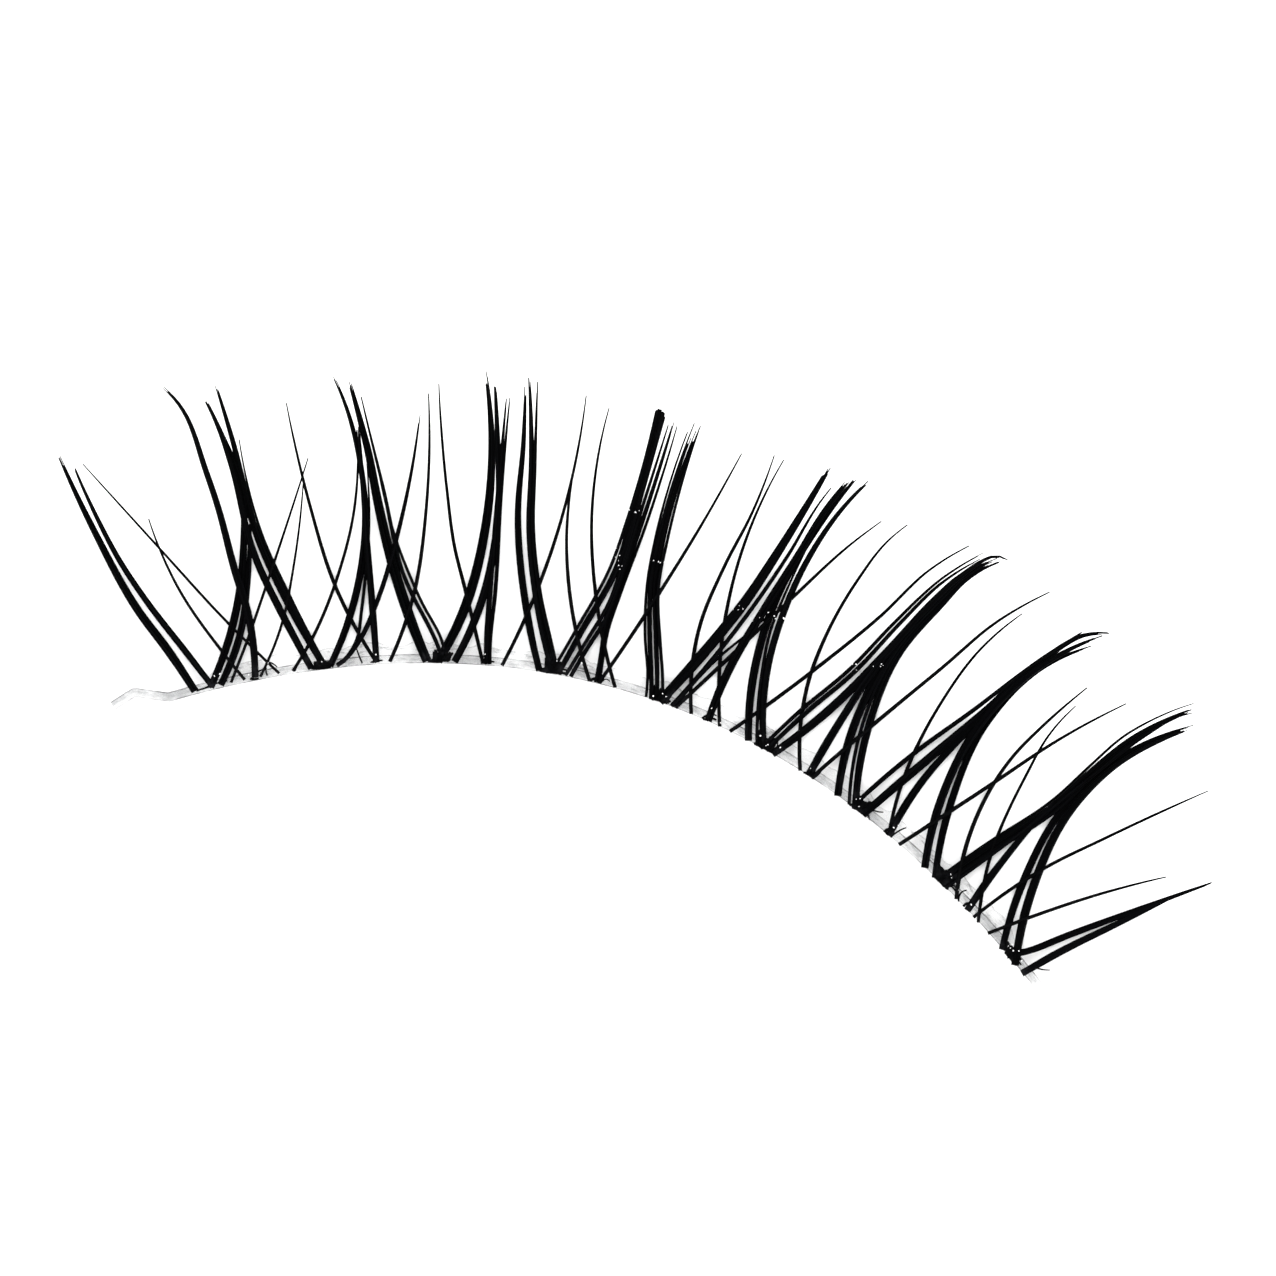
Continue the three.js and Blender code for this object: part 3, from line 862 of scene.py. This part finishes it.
@dataclass
class FibreGrower:
    """Turns plan strands into bundles of tapering fibres that lie on the curled sheet."""

    sheet: CurlSheet
    fibre_width: float = 0.1
    pitch: float = 0.06
    thickness: float = 0.15
    foot_reach: float = 0.13
    foot_lean: float = 0.006
    foot_height: float = 0.55
    foot_run: float = 1.3
    bed_fall: float = 0.5
    layer: float = 0.05
    layers: int = 4
    layer_run: float = 0.5
    guide_steps: int = 30
    sides: int = 7
    steps: int = 34
    taper: float = 3.5
    girth_least: float = 0.85
    girth_more: float = 0.3
    gather: float = 0.8
    gather_run: float = 0.2
    narrowing: float = 1.8
    flattening: float = 0.6
    stray: float = 0.035
    stray_run: float = 0.5
    stray_waves: float = 3.0
    stray_apart: float = 500.0
    _tree: GeometryTree = field(init=False, repr=False)

    def __post_init__(self) -> None:
        """Builds the bundle tree once."""
        self._tree = self._bundle_tree()

    def _bundle_tree(self) -> GeometryTree:
        """Builds the tree that splits each guide into fibres and gives them their round, tapering body.

        Returns:
            The bundle tree.
        """
        tree = GeometryTree("Fibre Bundle", ("Fibre Width", "Stray"), ("Sides", "Steps", "Seed"))
        book, start = tree.book, tree.start
        fibres = tree.attribute("fibres", "INT")
        split = {"Geometry": tree.course(), "Amount": fibres}
        line, order = book.add("GeometryNodeDuplicateElements", split, domain="SPLINE").outputs
        for offset, name in enumerate(("fibre_shade", "fibre_level", "fibre_short")):
            seed = book.math("ADD", start["Seed"], offset)
            value = book.result("FunctionNodeRandomValue", {"Seed": seed})
            line = tree.store(line, name, value, domain="CURVE")
        last = book.math("MAXIMUM", book.math("SUBTRACT", fibres, 1.0), 1.0)
        middle = book.math("SUBTRACT", book.math("DIVIDE", order, last), 0.5)
        line = tree.store(line, "fibre_place", middle, domain="CURVE")
        line = tree.moved(line, Offset=self._bundle_offset(tree))
        cut = book.math("MULTIPLY", tree.attribute("fibre_short"), tree.attribute("uneven"))
        end = book.math("SUBTRACT", 1.0, cut)
        line = book.result("GeometryNodeTrimCurve", {"Curve": line, "End": end})
        spline = book.add("GeometryNodeSplineParameter").outputs
        line = tree.store(line, "along", spline["Length"])
        ring = book.result("GeometryNodeCurvePrimitiveCircle", {"Resolution": start["Sides"], "Radius": 1.0})
        ring = tree.store(ring, "ring", book.result("GeometryNodeInputPosition"), "FLOAT_VECTOR")
        towards = book.math("POWER", spline["Factor"], self.taper)
        taper = book.math("MULTIPLY_ADD", towards, book.math("SUBTRACT", tree.attribute("thin"), 1.0), 1.0)
        girth = book.math("MULTIPLY_ADD", tree.attribute("fibre_shade"), self.girth_more, self.girth_least)
        width = book.math("MULTIPLY", tree.attribute("fibre_width"), start["Fibre Width"])
        radius = book.math("MULTIPLY", book.math("MULTIPLY", width, 0.5), book.math("MULTIPLY", girth, taper))
        sweep = {"Curve": line, "Profile Curve": ring, "Scale": radius, "Fill Caps": True}
        tree.close(book.result("GeometryNodeCurveToMesh", sweep))
        return tree

    def _bundle_offset(self, tree: GeometryTree) -> Socket:
        """Works out how far each fibre stands from the middle of its strand.

        Args:
            tree: the bundle tree.

        Returns:
            The offset's socket.
        """
        book = tree.book
        share = book.add("GeometryNodeSplineParameter").outputs["Factor"]
        tangent = book.result("GeometryNodeInputTangent")
        side = book.vector("NORMALIZE", book.vector("CROSS_PRODUCT", tangent, (0.0, 0.0, 1.0)))
        up = book.vector("CROSS_PRODUCT", side, tangent)
        gather = book.ranged(share, 0.0, self.gather_run, self.gather, 1.0)
        narrow = book.math("POWER", share, self.narrowing)
        close = book.math("MULTIPLY_ADD", narrow, book.math("SUBTRACT", tree.attribute("spread"), 1.0), 1.0)
        room = book.math("MULTIPLY", tree.attribute("room"), book.math("MULTIPLY", gather, close))
        course = book.joined(
            X=book.math("MULTIPLY", share, self.stray_waves),
            Y=book.math("MULTIPLY", tree.attribute("fibre_shade"), self.stray_apart),
        )
        wave = book.result("ShaderNodeTexNoise", {"Vector": course, "Scale": 1.0, "Detail": 1.0})
        swing = book.math("SUBTRACT", wave, 0.5)
        loose = book.math("MULTIPLY", tree.attribute("loose"), tree.start["Stray"])
        growing = book.math("MINIMUM", share, self.stray_run)
        wander = book.math("MULTIPLY", book.math("MULTIPLY", swing, loose), growing)
        across = book.math("MULTIPLY_ADD", tree.attribute("fibre_place"), room, wander)
        level = book.math("SUBTRACT", tree.attribute("fibre_level"), 0.5)
        flat = book.math("MULTIPLY_ADD", share, -self.flattening, 1.0)
        rise = book.math("MULTIPLY", level, book.math("MULTIPLY", tree.attribute("depth"), flat))
        return book.vector("ADD", book.scaled(side, across), book.scaled(up, rise))

    def grow(self, name: str, lashes: tuple[Lash, ...], finish: FibreFinish, seed: int) -> Piece:
        """Grows a set of strands into one mesh.

        Args:
            name: the piece's name.
            lashes: the strands.
            finish: the fibre's finish.
            seed: the seed for what varies from fibre to fibre.

        Returns:
            The grown piece.
        """
        piece = guide_object(name, [self._guide(lash, i) for i, lash in enumerate(lashes)])
        self._describe(piece.data, lashes)
        values = {
            "Fibre Width": self.fibre_width * MM,
            "Stray": self.stray * MM,
            "Sides": self.sides,
            "Steps": self.steps,
            "Seed": seed,
        }
        return self._tree.run(piece, finish, values)

    def _guide(self, lash: Lash, order: int) -> list[Vector]:
        """Lays a strand's middle line on the curled sheet, with crossing strands at different levels.

        Args:
            lash: the strand.
            order: its place in its piece.

        Returns:
            Points in metres, foot first.
        """
        band = self.sheet.band
        lift = self.layer * (order % self.layers)
        bed = self.thickness if self._fibres(lash) > 1 else self.fibre_width
        reach = self.foot_reach + self.foot_lean * lash.root
        points = []
        for i, plan in enumerate(lash.path(band, reach, self.guide_steps)):
            share = i / self.guide_steps
            height = bed * (1 - self.bed_fall * share) + lift * min(1.0, share / self.layer_run)
            points.append(band.place(plan, max(self.sheet.rise(plan) + height, self.step_over(plan))))
        return points

    def step_over(self, plan: Plan) -> float:
        """Height that a strand keeps where it lies over the thread, by its distance from it."""
        away = max(0.0, self.sheet.away(plan) - self.sheet.band.width / 2)
        return self.foot_height * (0.5 + 0.5 * math.cos(math.pi * min(1.0, away / self.foot_run)))

    def _fibres(self, lash: Lash) -> int:
        """How many fibres a strand is made of."""
        return max(1, round(lash.width / self.pitch)) if lash.width > self.fibre_width else 1

    def _describe(self, mesh: bpy.types.Mesh, lashes: tuple[Lash, ...]) -> None:
        """Writes each strand's sizes on its guide's points, for the tree to read.

        Args:
            mesh: the guides.
            lashes: the strands, in the guides' order.
        """
        columns: dict[str, list[float]] = {}
        for lash in lashes:
            fibres = self._fibres(lash)
            alone = fibres == 1
            row = {
                "fibres": fibres,
                "fibre_width": lash.width / self.fibre_width if alone else 1.0,
                "room": 0.0 if alone else max(0.0, lash.width - self.fibre_width) * MM,
                "depth": 0.0 if alone else self.thickness * MM,
                "loose": 0.0 if alone else 1.0,
                "spread": lash.tip.value.spread,
                "uneven": lash.tip.value.uneven,
                "thin": lash.tip.value.thin,
            }
            for name, value in row.items():
                columns.setdefault(name, []).extend([value] * (self.guide_steps + 1))
        for name, values in columns.items():
            kind = "INT" if name == "fibres" else "FLOAT"
            mesh.attributes.new(name, kind, "POINT").data.foreach_set("value", values)


@dataclass
class LashSpikes:
    """The twelve spikes, each the strands that run together into it."""

    grower: FibreGrower
    rows: tuple[tuple[Lash, ...], ...] = SPIKES
    seed: int = 11
    seed_step: int = 10

    def build(self) -> list[Piece]:
        """Grows each spike in place of its solid.

        Returns:
            The spikes, from left to right.
        """
        pieces = []
        for number, lashes in enumerate(self.rows, start=1):
            seed = self.seed + self.seed_step * number
            piece = self.grower.grow(f"lash_spike_{number:02d}", lashes, LASH_BLACK, seed)
            pieces.append(settle(piece, FIBRE_SLOT, f"spike_{number:02d}"))
        return pieces


@dataclass
class FineHairs:
    """The single hairs that stand between the spikes."""

    grower: FibreGrower
    hairs: tuple[Lash, ...] = FINE_HAIRS
    seed: int = 5

    def build(self) -> Piece:
        """Grows the hairs as one piece."""
        return settle(self.grower.grow("fine_hairs", self.hairs, HAIR_BLACK, self.seed), FIBRE_SLOT)


@dataclass
class KnotFibres:
    """Short fibres at the feet: wraps along the thread, tufts that fill each knot, and loose cut ends."""

    grower: FibreGrower
    least_wraps: int = 2
    wraps: int = 6
    wrap_run: float = 0.75
    wrap_share: Span = (0.5, 1.0)
    wrap_start: Span = (-0.55, -0.15)
    wrap_off: Span = (-0.12, 0.06)
    wrap_width: Span = (0.06, 0.1)
    foot_wraps: int = 2
    foot_wrap_run: float = 0.375
    tufts: int = 15
    half_knot: float = 0.23
    tuft_reach: float = 0.42
    tuft_least: float = 0.35
    tuft_hollow: float = 0.35
    tuft_lean: float = 0.4
    tuft_width: float = 0.09
    strays: int = 1
    stray_root: Span = (-0.5, 0.5)
    stray_reach: Span = (0.25, 0.7)
    stray_lean: Span = (-1.3, 1.3)
    stray_bend: Span = (-0.5, 0.5)
    stray_width: Span = (0.045, 0.07)
    seed: int = 23

    def build(self) -> Piece:
        """Grows the short fibres as one piece.

        Returns:
            The short fibres.
        """
        chance = random.Random(self.seed)
        fibres: list[Lash] = list(LOOSE_ENDS)
        for place, full in KNOTS.items():
            tufts, wraps = math.ceil(full) * self.tufts, self.least_wraps + round(full * self.wraps)
            fibres.extend(self._wrap(place, self.wrap_run, chance) for _ in range(wraps))
            fibres.extend(self._tuft(place, (i + 0.5) / tufts, full) for i in range(tufts))
            fibres.extend(self._stray(place, chance) for _ in range(self.strays))
        for place in MIDDLE_FEET:
            fibres.extend(self._wrap(place, self.foot_wrap_run, chance) for _ in range(self.foot_wraps))
            fibres.append(self._stray(place, chance))
        return settle(self.grower.grow("knot_fibres", tuple(fibres), HAIR_BLACK, self.seed), FIBRE_SLOT)

    def _wrap(self, place: float, run: float, chance: random.Random) -> Lash:
        """Makes one short fibre that lies along the thread.

        Args:
            place: where the foot stands along the band.
            run: the most that the fibre runs along the thread.
            chance: the seeded source of variation.

        Returns:
            The short strand.
        """
        reach = run * chance.uniform(*self.wrap_share)
        root = place + chance.uniform(*self.wrap_start) * run
        level = self.grower.sheet.band.level
        off = chance.uniform(*self.wrap_off)
        points = [(root + reach * share, level(root + reach * share) + off) for share in (0.5, 1.0)]
        return stub(chance.uniform(*self.wrap_width), root, *points)

    def _tuft(self, place: float, share: float, full: float) -> Lash:
        """Makes one short straight fibre of the row that fills the fork of a knot.

        Args:
            place: where the knot stands along the band.
            share: how far along the row it stands, from 0 to 1.
            full: how full the fork is, from 0 to 1.

        Returns:
            The short strand.
        """
        side = 2 * share - 1
        filled = full * (1 - self.tuft_hollow + self.tuft_hollow * side * side)
        reach = self.tuft_reach * (self.tuft_least + (1 - self.tuft_least) * filled)
        return self._lean(place + self.half_knot * side, reach, self.tuft_lean * side, 0.0, self.tuft_width)

    def _stray(self, place: float, chance: random.Random) -> Lash:
        """Makes one bent end that stands out near a foot.

        Args:
            place: where the foot stands along the band.
            chance: the seeded source of variation.

        Returns:
            The short strand.
        """
        spans = (self.stray_root, self.stray_reach, self.stray_lean, self.stray_bend, self.stray_width)
        root, reach, lean, bend, width = (chance.uniform(*span) for span in spans)
        return self._lean(place + root, reach, lean, bend, width)

    def _lean(self, root: float, reach: float, lean: float, bend: float, width: float) -> Lash:
        """Makes a short strand that leans and bends.

        Args:
            root: where it stands along the band.
            reach: its length.
            lean: how far it leans from the way the lashes point, in radians.
            bend: how far its end turns further, in radians.
            width: its width.

        Returns:
            The short strand.
        """
        level = self.grower.sheet.band.level(root)
        middle = (root + 0.5 * reach * math.sin(lean), level + 0.5 * reach * math.cos(lean))
        end = (root + reach * math.sin(lean + bend), level + reach * math.cos(lean + bend))
        return stub(width, root, middle, end)


@dataclass
class ClearThread:
    """The clear thread that carries the lashes, swept along the band's course."""

    band: Band
    corner: float = 0.1
    corner_steps: int = 4
    waver: float = 0.012
    waver_grain: float = 700.0
    course_steps: int = 120
    steps: int = 260

    def build(self) -> Piece:
        """Sweeps the thread in place of its solid.

        Returns:
            The thread.
        """
        band = self.band
        course = [band.place(point, band.height / 2) for point in band.line(self.course_steps)]
        values = {
            "Width": band.width * MM,
            "Height": band.height * MM,
            "Corner": self.corner * MM,
            "Waver": self.waver * MM,
            "Steps": self.steps,
        }
        piece = self._tree().run(guide_object("clear_thread", [course]), CLEAR_THREAD, values)
        return settle(piece, CLEAR_SLOT, "band")

    def _tree(self) -> GeometryTree:
        """Builds the tree that sweeps a rounded section along the course.

        Returns:
            The thread's tree.
        """
        tree = GeometryTree("Clear Thread", ("Width", "Height", "Corner", "Waver"), ("Steps",))
        book, start = tree.book, tree.start
        place = book.result("GeometryNodeInputPosition")
        grain = {"Vector": place, "Scale": self.waver_grain, "Detail": 1.0}
        noise = book.add("ShaderNodeTexNoise", grain).outputs["Color"]
        sway = book.vector("MULTIPLY", book.vector("SUBTRACT", noise, (0.5, 0.5, 0.5)), (1.0, 1.0, 0.0))
        line = tree.moved(tree.course(), Offset=book.scaled(sway, start["Waver"]))
        line = tree.store(line, "along", book.add("GeometryNodeSplineParameter").outputs["Length"])
        line = book.result("GeometryNodeSetCurveNormal", {"Curve": line}, mode="Z_UP")
        size = {"Width": start["Width"], "Height": start["Height"]}
        section = book.result("GeometryNodeCurvePrimitiveQuadrilateral", size)
        corners = {"Curve": section, "Radius": start["Corner"], "Count": self.corner_steps}
        section = book.result("GeometryNodeFilletCurve", corners, mode="POLY")
        section = tree.store(section, "across", book.result("ShaderNodeSeparateXYZ", {"Vector": place}))
        sweep = {"Curve": line, "Profile Curve": section, "Fill Caps": True}
        body = book.result("GeometryNodeCurveToMesh", sweep)
        across = tree.attribute("across")
        half = book.math("MULTIPLY", start["Width"], 0.5)
        # Mask for the finish's painted shade along the thread's sides.
        body = tree.store(body, "rim_shade_mask", book.math("DIVIDE", book.math("ABSOLUTE", across), half))
        tree.close(tree.flow(body, tree.attribute("along"), across))
        return tree


@dataclass
class GlueFilmAndShade:
    """The uneven film of dried clear glue that lies between the feet, against the thread; its grey is in part
    painted shade for the shadows that fall between the feet.
    """

    band: Band
    reach: float = 0.34
    thickness: float = 0.13
    slope: float = 0.75
    ragged: float = 0.9
    ragged_grain: float = 1400.0
    overrun: float = 0.35
    fade: float = 0.03
    rim_shade_power: float = 3.0
    base: float = 0.02
    course_steps: int = 240
    steps: int = 420
    sides: int = 16

    def build(self) -> Piece:
        """Sweeps the film along the thread's lash side.

        Returns:
            The film.
        """
        band = self.band
        first, last = min(KNOTS) - self.overrun, max(KNOTS) + self.overrun
        line = (point for point in band.line(self.course_steps) if first < point[0] < last)
        course = [band.place(point, self.base) for point in line]
        values = {
            "Inset": band.width / 2 * MM,
            "Reach": self.reach * MM,
            "Thickness": self.thickness * MM,
            "Ragged": self.ragged,
            "Steps": self.steps,
        }
        piece = self._tree().run(guide_object("glue_film_and_shade", [course]), GLUE_FILM_AND_SHADE, values)
        return settle(piece, CLEAR_SLOT)

    def _tree(self) -> GeometryTree:
        """Builds the tree that sweeps a thin wedge and makes its far side ragged.

        Returns:
            The film's tree.
        """
        tree = GeometryTree("Glue Film And Shade", ("Inset", "Reach", "Thickness", "Ragged"), ("Steps",))
        book, start = tree.book, tree.start
        line = book.result("GeometryNodeSetCurveNormal", {"Curve": tree.course()}, mode="Z_UP")
        place = book.result("GeometryNodeInputPosition")
        ring = book.result("GeometryNodeCurvePrimitiveCircle", {"Resolution": self.sides, "Radius": 0.5})
        ring = tree.store(ring, "section", place, "FLOAT_VECTOR")
        line = tree.store(line, "heading", book.result("GeometryNodeInputTangent"), "FLOAT_VECTOR")
        line = tree.store(line, "middle", place, "FLOAT_VECTOR")
        spline = book.add("GeometryNodeSplineParameter").outputs
        line = tree.store(line, "along", spline["Length"])
        opening = book.ranged(spline["Factor"], 0.0, self.fade)
        closing = book.ranged(spline["Factor"], 1 - self.fade, 1.0, 1.0, 0.0)
        line = tree.store(line, "ends", book.math("MULTIPLY", opening, closing))
        body = book.result("GeometryNodeCurveToMesh", {"Curve": line, "Profile Curve": ring, "Scale": MM})
        middle, heading, section = (
            tree.attribute(name, "FLOAT_VECTOR") for name in ("middle", "heading", "section")
        )
        outward = book.vector("CROSS_PRODUCT", (0.0, 0.0, 1.0), heading)
        right, top, _ = book.add("ShaderNodeSeparateXYZ", {"Vector": section}).outputs
        grain = {"Vector": middle, "Scale": self.ragged_grain, "Detail": 3.0}
        noise = book.result("ShaderNodeTexNoise", grain)
        uneven = book.math("MULTIPLY", book.math("SUBTRACT", noise, 0.5), 2.0)
        reach = book.math("MULTIPLY", start["Reach"], tree.attribute("ends"))
        far = book.math("MULTIPLY", reach, book.math("MULTIPLY_ADD", uneven, start["Ragged"], 1.0))
        share = book.math("ADD", right, 0.5)
        across = book.math("MULTIPLY_ADD", share, far, start["Inset"])
        lean = book.math("MULTIPLY_ADD", share, -self.slope, 1.0)
        high = book.math("MULTIPLY", book.math("ADD", top, 0.5), start["Thickness"])
        upward = book.joined(Z=book.math("MULTIPLY", high, lean))
        spot = book.vector("ADD", book.vector("ADD", middle, book.scaled(outward, across)), upward)
        body = tree.moved(body, Position=spot)
        # Mask for the finish's painted shade along the film's far side.
        body = tree.store(body, "rim_shade_mask", book.math("POWER", share, self.rim_shade_power))
        tree.close(tree.flow(body, tree.attribute("along"), across))
        return tree


@dataclass
class WhiteFlecks:
    """Tiny white flakes that sit on the strands and round the feet."""

    grower: FibreGrower
    size: float = 0.08
    least: Triple = (0.3, 0.3, 0.15)
    most: Triple = (1.0, 0.8, 0.5)
    turn: Triple = (6.2, 6.2, 6.2)
    rounding: int = 2
    lift: float = 0.29
    cluster: int = 4
    scatter: float = 0.09
    at_feet: int = 46
    foot_scatter: float = 0.25
    foot_off: Span = (-0.05, 0.4)
    foot_lift: Span = (0.08, 0.18)
    seed: int = 17

    def build(self) -> Piece:
        """Scatters the flakes as one piece.

        Returns:
            The flakes.
        """
        sheet = self.grower.sheet
        band = sheet.band
        chance = random.Random(self.seed)
        places = []
        for x, y in SPECKS * self.cluster:
            plan = (x + chance.gauss(0.0, self.scatter), y + chance.gauss(0.0, self.scatter))
            places.append(band.place(plan, sheet.rise(plan) + self.lift))
        for _ in range(self.at_feet):
            x = chance.choice((*KNOTS, *MIDDLE_FEET)) + chance.gauss(0.0, self.foot_scatter)
            plan = (x, band.level(x) + chance.uniform(*self.foot_off))
            places.append(band.place(plan, self.grower.step_over(plan) + chance.uniform(*self.foot_lift)))
        piece = guide_object("white_flecks", [[place] for place in places])
        values = {"Size": self.size * MM, "Seed": self.seed}
        return settle(self._tree().run(piece, WHITE_FLECK, values), CLEAR_SLOT)

    def _tree(self) -> GeometryTree:
        """Builds the tree that sets a small flake of random size and turn on each point.

        Returns:
            The flakes' tree.
        """
        tree = GeometryTree("White Flecks", ("Size",), ("Seed",))
        book, start = tree.book, tree.start
        flake = book.result("GeometryNodeMeshIcoSphere", {"Radius": 0.5, "Subdivisions": self.rounding})
        spot = book.scaled(book.result("GeometryNodeInputPosition"), start["Size"])
        flake = tree.store(flake, "flow", spot, "FLOAT_VECTOR")
        draws = (
            {"Min": (0.0, 0.0, 0.0), "Max": self.turn, "Seed": start["Seed"]},
            {"Min": self.least, "Max": self.most, "Seed": book.math("ADD", start["Seed"], 1)},
        )
        turn, scale = (
            book.result("FunctionNodeRandomValue", draw, data_type="FLOAT_VECTOR") for draw in draws
        )
        scatter = {
            "Points": book.result("GeometryNodeMeshToPoints", {"Mesh": start["Geometry"]}),
            "Instance": flake,
            "Rotation": turn,
            "Scale": book.scaled(scale, start["Size"]),
        }
        tree.close(book.result("GeometryNodeInstanceOnPoints", scatter))
        return tree


@dataclass(frozen=True)
class Lamp:
    """One soft distant lamp, with its angles in degrees, turned to the left from the picture's top."""

    name: str
    elevation: float
    turn: float
    strength: float
    soft: float
    colour: Triple

    def hang(self, top: float) -> None:
        """Adds the lamp to the scene.

        Args:
            top: the way to the picture's top, in radians.
        """
        light = bpy.data.lights.new(self.name, "SUN")
        light.energy = self.strength
        light.angle = math.radians(self.soft)
        light.color = self.colour
        lamp = bpy.data.objects.new(self.name, light)
        bpy.context.scene.collection.objects.link(lamp)
        way, high = top + math.radians(self.turn), math.radians(self.elevation)
        towards = Vector((math.cos(way) * math.cos(high), math.sin(way) * math.cos(high), math.sin(high)))
        lamp.rotation_euler = towards.to_track_quat("Z", "Y").to_euler()


@dataclass
class Studio:
    """The white surface, the soft light and the camera that looks straight down."""

    aim: Plan = (-0.27, 7.01)
    right: Plan = (0.955, 0.2967)
    field_width: float = 41.16
    focus_level: float = 1.5
    lens: float = 600.0
    sensor: float = 36.0
    clip: Span = (0.2, 20.0)
    floor_half: float = 600.0
    floor_drop: float = 0.02
    white: Colour = (1.0, 1.0, 1.0, 1.0)
    ambient: float = 2.2
    lamps: tuple[Lamp, ...] = (
        Lamp("warm_lamp", elevation=66.0, turn=14.0, strength=0.32, soft=14.0, colour=(1.0, 0.98, 0.95)),
        Lamp("cool_lamp", elevation=56.0, turn=-4.0, strength=0.35, soft=18.0, colour=(0.95, 0.98, 1.0)),
    )

    def build(self, band: Band) -> None:
        """Sets out the floor, the lights and the camera.

        Args:
            band: the thread, whose plan the camera's aim is read in.
        """
        self._floor()
        self._sky()
        for lamp in self.lamps:
            lamp.hang(math.atan2(self.right[0], -self.right[1]))
        self._camera(band)

    def _floor(self) -> None:
        """Lays the white surface just under the strip."""
        half, drop = self.floor_half * MM, -self.floor_drop * MM
        corners = [(-half, -half, drop), (half, -half, drop), (half, half, drop), (-half, half, drop)]
        mesh = bpy.data.meshes.new("white_floor")
        mesh.from_pydata(corners, [], [(0, 1, 2, 3)])
        mesh.materials.append(FloorFinish().material())
        floor = bpy.data.objects.new("white_floor", mesh)
        bpy.context.scene.collection.objects.link(floor)

    def _sky(self) -> None:
        """Fills the scene with even white light, so bright that the surface shows as plain white."""
        world = bpy.data.worlds.new("white_room")
        world.use_nodes = True
        inputs = world.node_tree.nodes["Background"].inputs
        inputs["Strength"].default_value = self.ambient
        inputs["Color"].default_value = self.white
        bpy.context.scene.world = world
        bpy.context.scene.view_settings.view_transform = "Standard"

    def _camera(self, band: Band) -> None:
        """Points a long lens straight down at the strip.

        Args:
            band: the thread, whose plan the camera's aim is read in.
        """
        lens = bpy.data.cameras.new("camera")
        lens.lens = self.lens
        lens.sensor_width = self.sensor
        away = self.field_width * self.lens / self.sensor + self.focus_level
        lens.clip_start, lens.clip_end = (away * share * MM for share in self.clip)
        camera = bpy.data.objects.new("camera", lens)
        bpy.context.scene.collection.objects.link(camera)
        across = Vector((*self.right, 0.0))
        upward = Vector((-self.right[1], self.right[0], 0.0))
        turn = Matrix((across, upward, Vector((0.0, 0.0, 1.0)))).transposed()
        camera.matrix_world = Matrix.Translation(band.place(self.aim, away)) @ turn.to_4x4()
        bpy.context.scene.camera = camera


def main() -> None:
    """Builds each sub-assembly in order."""
    logging.basicConfig(level=logging.INFO, format="%(name)s: %(message)s")
    band = Band()
    sheet = CurlSheet(band)
    grower = FibreGrower(sheet)
    LashSpikes(grower).build()
    FineHairs(grower).build()
    KnotFibres(grower).build()
    ClearThread(band).build()
    GlueFilmAndShade(band).build()
    WhiteFlecks(grower).build()
    Studio().build(band)


if __name__ == "__main__":
    main()
